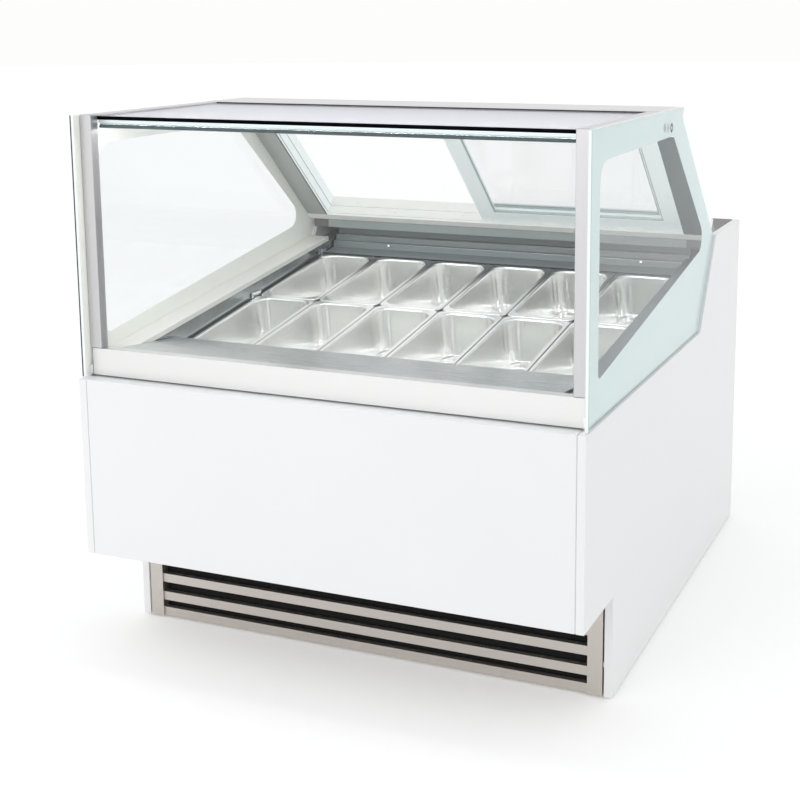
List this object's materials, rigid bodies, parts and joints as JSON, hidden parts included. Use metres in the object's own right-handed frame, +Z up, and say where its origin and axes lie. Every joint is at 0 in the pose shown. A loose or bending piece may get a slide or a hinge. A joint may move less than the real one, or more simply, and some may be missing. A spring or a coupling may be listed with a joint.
{
  "type": "ice cream scooping display freezer",
  "caption": "Glass-topped scooping freezer: a sloping deck of lift-out steel pans, tilting front glass, sliding rear doors and a white cabinet over a louvred toe space.",
  "frame": {"origin": "on the floor, under the middle of the outer case", "axes": "+X to the right seen by a customer at the front, -Y towards that customer, +Z up"},
  "size_m": [1.14, 1.372, 1.182],
  "materials": {
    "white_paint": "semi-gloss white powder coat",
    "galvanised": "galvanised sheet",
    "dark_counter": "warm dark grey",
    "tub_liner": "satin stainless liner",
    "stainless": "brushed stainless",
    "pan_stainless": "bright brushed stainless",
    "ivory_trim": "ivory",
    "rubber_feet": "dark grey",
    "side_glass": "clear with a pale mint printed border",
    "clear_glass": "clear",
    "chrome_trim": "polished",
    "door_frame": "satin light grey",
    "light_diffuser": "milky",
    "satin_aluminium": "satin anodised",
    "compressor_paint": "black",
    "coil": "plain fins",
    "black_plastic": "black",
    "switch_green": "green"
  },
  "bodies": {
    "cabinet": {"side_panel_left": "white_paint", "side_panel_right": "white_paint", "front_panel": "white_paint", "back_panel": "white_paint", "base_tray": "galvanised", "counter_top": "dark_counter", "insulated_tub": "tub_liner", "front_ledge": "stainless", "back_step_panel": "stainless", "side_cap_left": "ivory_trim", "side_cap_right": "ivory_trim", "foot_front_left": "rubber_feet", "foot_front_right": "rubber_feet", "foot_back_left": "rubber_feet", "foot_back_right": "rubber_feet", "side_glass_left": "side_glass", "side_glass_right": "side_glass", "glass_bolt_left": "chrome_trim", "glass_bolt_right": "chrome_trim", "top_glass": "clear_glass", "top_rear_panel": "door_frame", "light_bar": "light_diffuser", "front_hinge_left": "chrome_trim", "front_hinge_right": "chrome_trim", "door_jamb_left": "door_frame", "door_jamb_right": "door_frame", "door_track_top": "door_frame", "door_track_bottom": "door_frame", "pan_rail_front": "stainless", "pan_rail_middle": "stainless", "pan_rail_rear": "stainless", "compressor": "compressor_paint", "condenser": "coil", "evaporator": "coil", "drain_spout": "stainless", "control_panel": "black_plastic", "power_inlet": "black_plastic"},
    "front_frame": {"front_rail": "satin_aluminium", "front_post_left": "satin_aluminium", "front_post_right": "satin_aluminium", "front_glass": "clear_glass"},
    "rear_door_left": {"door_left_frame": "door_frame", "door_left_glass": "clear_glass"},
    "rear_door_right": {"door_right_frame": "door_frame", "door_right_glass": "clear_glass"},
    "grille": {"kick_grille": "satin_aluminium"},
    "fan": {"condenser_fan": "black_plastic"},
    "switch": {"power_switch": "switch_green"},
    "pan_front_1": {"pan_front_1": "pan_stainless"},
    "pan_front_2": {"pan_front_2": "pan_stainless"},
    "pan_front_3": {"pan_front_3": "pan_stainless"},
    "pan_front_4": {"pan_front_4": "pan_stainless"},
    "pan_front_5": {"pan_front_5": "pan_stainless"},
    "pan_front_6": {"pan_front_6": "pan_stainless"},
    "pan_rear_1": {"pan_rear_1": "pan_stainless"},
    "pan_rear_2": {"pan_rear_2": "pan_stainless"},
    "pan_rear_3": {"pan_rear_3": "pan_stainless"},
    "pan_rear_4": {"pan_rear_4": "pan_stainless"},
    "pan_rear_5": {"pan_rear_5": "pan_stainless"},
    "pan_rear_6": {"pan_rear_6": "pan_stainless"}
  },
  "joints": [
    {"name": "front_frame_tilt", "type": "hinge", "parent": "cabinet", "child": "front_frame", "pos_m": [0, -0.647, 0.6315], "axis": [1, 0, 0], "range_deg": [0, 45]},
    {"name": "rear_door_left_slide", "type": "slide", "parent": "cabinet", "child": "rear_door_left", "axis": [1, 0, 0], "range_m": [-0.448, 0.013]},
    {"name": "rear_door_right_slide", "type": "slide", "parent": "cabinet", "child": "rear_door_right", "axis": [1, 0, 0], "range_m": [-0.461, 0]},
    {"name": "grille_pull_off", "type": "slide", "parent": "cabinet", "child": "grille", "axis": [0, -1, 0], "range_m": [0, 0.1]},
    {"name": "fan_spin", "type": "hinge", "parent": "cabinet", "child": "fan", "pos_m": [-0.17, -0.3565, 0.152], "axis": [0, 1, 0], "continuous": true},
    {"name": "switch_press", "type": "slide", "parent": "cabinet", "child": "switch", "axis": [0, -1, 0], "range_m": [0, 0.002], "stiffness_N_per_m": 300, "springref_m": -0.001},
    {"name": "pan_front_1_lift", "type": "slide", "parent": "cabinet", "child": "pan_front_1", "axis": [0, -0.1454, 0.9894], "range_m": [0, 0.13]},
    {"name": "pan_front_2_lift", "type": "slide", "parent": "cabinet", "child": "pan_front_2", "axis": [0, -0.1454, 0.9894], "range_m": [0, 0.13]},
    {"name": "pan_front_3_lift", "type": "slide", "parent": "cabinet", "child": "pan_front_3", "axis": [0, -0.1454, 0.9894], "range_m": [0, 0.13]},
    {"name": "pan_front_4_lift", "type": "slide", "parent": "cabinet", "child": "pan_front_4", "axis": [0, -0.1454, 0.9894], "range_m": [0, 0.13]},
    {"name": "pan_front_5_lift", "type": "slide", "parent": "cabinet", "child": "pan_front_5", "axis": [0, -0.1454, 0.9894], "range_m": [0, 0.13]},
    {"name": "pan_front_6_lift", "type": "slide", "parent": "cabinet", "child": "pan_front_6", "axis": [0, -0.1454, 0.9894], "range_m": [0, 0.13]},
    {"name": "pan_rear_1_lift", "type": "slide", "parent": "cabinet", "child": "pan_rear_1", "axis": [0, -0.1454, 0.9894], "range_m": [0, 0.13]},
    {"name": "pan_rear_2_lift", "type": "slide", "parent": "cabinet", "child": "pan_rear_2", "axis": [0, -0.1454, 0.9894], "range_m": [0, 0.13]},
    {"name": "pan_rear_3_lift", "type": "slide", "parent": "cabinet", "child": "pan_rear_3", "axis": [0, -0.1454, 0.9894], "range_m": [0, 0.13]},
    {"name": "pan_rear_4_lift", "type": "slide", "parent": "cabinet", "child": "pan_rear_4", "axis": [0, -0.1454, 0.9894], "range_m": [0, 0.13]},
    {"name": "pan_rear_5_lift", "type": "slide", "parent": "cabinet", "child": "pan_rear_5", "axis": [0, -0.1454, 0.9894], "range_m": [0, 0.13]},
    {"name": "pan_rear_6_lift", "type": "slide", "parent": "cabinet", "child": "pan_rear_6", "axis": [0, -0.1454, 0.9894], "range_m": [0, 0.13]}
  ]
}
